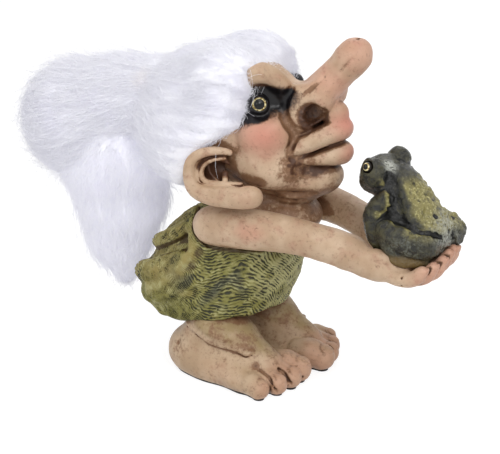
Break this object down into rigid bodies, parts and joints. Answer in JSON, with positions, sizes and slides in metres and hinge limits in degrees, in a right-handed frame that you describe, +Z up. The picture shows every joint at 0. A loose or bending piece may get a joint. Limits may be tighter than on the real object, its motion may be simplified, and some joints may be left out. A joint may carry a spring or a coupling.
{
  "type": "troll figure",
  "caption": "Barefoot troll figure in a green tunic, bent forward with a long raised nose and loose white hair, holding a frog on its cupped palms.",
  "frame": {"origin": "on the surface the figure stands on, under the middle of its bounding box", "axes": "+X the way the troll faces, +Y its left, +Z up"},
  "size_m": [0.1766, 0.0644, 0.1339],
  "materials": {
    "skin": "hand-painted cast resin, satin, with a brown wash in the creases",
    "tunic": "hand-painted cast resin with a knitted texture, satin",
    "frog": "painted cast resin under gloss varnish",
    "eye_glass": "polished glass bead, backed with dark paint and a gold iris ring",
    "hair": "soft white fibre, brushed loose",
    "felt": "thin dark felt",
    "dowel": "plain hardwood dowel",
    "pin": "plain steel wire"
  },
  "bodies": {
    "root": {"frog": "frog", "frog_left_eye": "eye_glass", "frog_pin": "pin", "frog_right_eye": "eye_glass", "hair_brush": "hair", "hair_left_side": "hair", "hair_mane": "hair", "hair_right_side": "hair", "head": "skin", "left_arm": "skin", "left_ear": "skin", "left_eye": "eye_glass", "left_leg": "skin", "left_leg_dowel": "dowel", "left_shoulder_dowel": "dowel", "left_sole_pad": "felt", "neck_dowel": "dowel", "right_arm": "skin", "right_ear": "skin", "right_eye": "eye_glass", "right_leg": "skin", "right_leg_dowel": "dowel", "right_shoulder_dowel": "dowel", "right_sole_pad": "felt", "torso": "tunic"}
  },
  "joints": []
}
